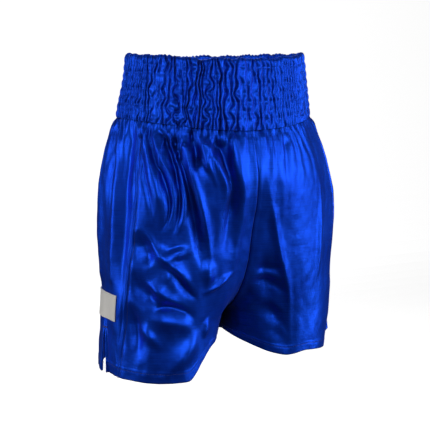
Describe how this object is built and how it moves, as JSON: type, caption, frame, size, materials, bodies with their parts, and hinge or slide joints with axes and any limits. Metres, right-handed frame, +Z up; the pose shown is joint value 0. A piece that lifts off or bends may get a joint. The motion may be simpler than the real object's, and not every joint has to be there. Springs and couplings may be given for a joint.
{
  "type": "boxing shorts",
  "caption": "Loose satin boxing shorts with a deep shirred elastic waistband, gathered front, side panels, vented turned-up hems and a blank woven patch over one vent.",
  "frame": {"origin": "On the level of the lowest hem, under the middle of the waist opening.", "axes": "+Z is up along the wearer's body, -Y is the wearer's front, -X is the wearer's right."},
  "size_m": [0.3782, 0.2632, 0.475],
  "materials": {
    "satin": "royal blue polyester satin, soft anisotropic sheen, fine weave",
    "elastic": "woven white elastic, matt, fine ribs",
    "cord": "braided white polyester cord, matt",
    "label": "off-white woven patch, matt with a slight sheen",
    "thread": "royal blue polyester sewing thread, dense bar stitching"
  },
  "bodies": {
    "waist": {"waistband_casing": "satin", "elastic_strip_1": "elastic", "elastic_strip_2": "elastic", "elastic_strip_3": "elastic", "elastic_strip_4": "elastic", "elastic_strip_5": "elastic", "elastic_strip_6": "elastic", "elastic_strip_7": "elastic", "elastic_strip_8": "elastic", "draw_cord": "cord", "front_panel_hip_right": "satin", "back_panel_hip_right": "satin", "side_panel_hip_right": "satin", "front_panel_hip_left": "satin", "back_panel_hip_left": "satin", "side_panel_hip_left": "satin"},
    "right_leg": {"front_panel_leg_right": "satin", "back_panel_leg_right": "satin", "side_panel_leg_right": "satin", "vent_bar_tack_right": "thread", "label_patch": "label"},
    "left_leg": {"front_panel_leg_left": "satin", "back_panel_leg_left": "satin", "side_panel_leg_left": "satin", "vent_bar_tack_left": "thread"},
    "cord_end_right": {"cord_tail_right": "cord"},
    "cord_end_left": {"cord_tail_left": "cord"},
    "care_tag": {"care_label": "label"}
  },
  "joints": [
    {"name": "right_leg_swing", "type": "hinge", "parent": "waist", "child": "right_leg", "pos_m": [-0.097, 0, 0.28], "axis": [-1, 0, 0], "range_deg": [-15, 30]},
    {"name": "left_leg_swing", "type": "hinge", "parent": "waist", "child": "left_leg", "pos_m": [0.097, 0, 0.28], "axis": [-1, 0, 0], "range_deg": [-15, 30]},
    {"name": "cord_end_right_swing", "type": "hinge", "parent": "waist", "child": "cord_end_right", "pos_m": [-0.0153, -0.0984, 0.4625], "axis": [1, 0, 0], "range_deg": [0, 60]},
    {"name": "cord_end_left_swing", "type": "hinge", "parent": "waist", "child": "cord_end_left", "pos_m": [0.0153, -0.0984, 0.4625], "axis": [1, 0, 0], "range_deg": [0, 60]},
    {"name": "care_tag_flip", "type": "hinge", "parent": "waist", "child": "care_tag", "pos_m": [0, 0.107, 0.383], "axis": [-1, 0, 0], "range_deg": [0, 120]}
  ]
}
